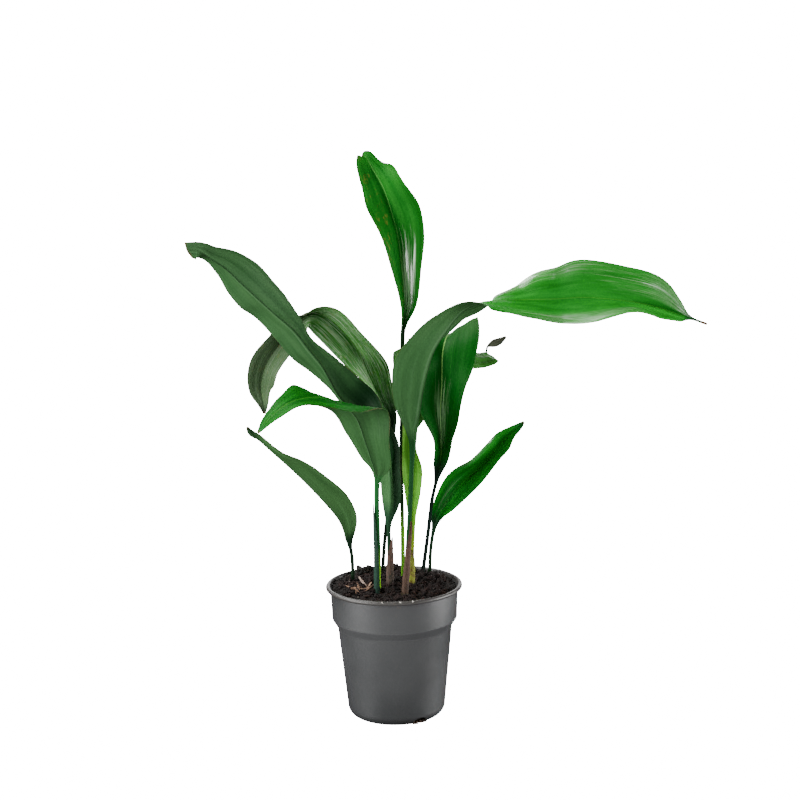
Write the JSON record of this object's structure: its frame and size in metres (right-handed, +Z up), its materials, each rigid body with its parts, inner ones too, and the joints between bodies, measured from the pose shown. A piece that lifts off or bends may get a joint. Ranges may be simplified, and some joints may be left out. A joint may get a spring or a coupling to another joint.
{
  "type": "potted cast iron plant",
  "caption": "Cast iron plant with long arching, folded and drooping strap leaves on thin stalks, growing in soil in a round grey nursery pot with a stepped collar.",
  "frame": {"origin": "centre of the flat underside of the pot", "axes": "+Z up along the axis of the pot, -Y towards the viewer of the picture, +X to the viewer's right, where the arching leaf points"},
  "size_m": [0.5109, 0.245, 0.5721],
  "materials": {
    "pot": "satin grey moulded plastic",
    "soil": "rough, damp, dark peat-based potting soil",
    "leaf": "glossy green upper face, dull grey-green underside",
    "young_leaf": "satin yellow-green",
    "dry_sheath": "dull papery brown",
    "young_sheath": "dull yellow with brown scales",
    "green_sheath": "dull dark blue-green"
  },
  "bodies": {
    "root": {"pot": "pot", "soil": "soil", "leaf_top": "leaf", "leaf_arching": "leaf", "leaf_long_left": "leaf", "leaf_back_drooping": "leaf", "leaf_right_middle": "leaf", "leaf_back_right": "leaf", "leaf_young": "young_leaf", "leaf_low_right": "leaf", "leaf_low_left": "leaf", "leaf_folded": "leaf", "sheath_arching": "dry_sheath", "sheath_long_left": "dry_sheath", "sheath_young": "young_sheath", "sheath_folded": "green_sheath"}
  },
  "joints": []
}
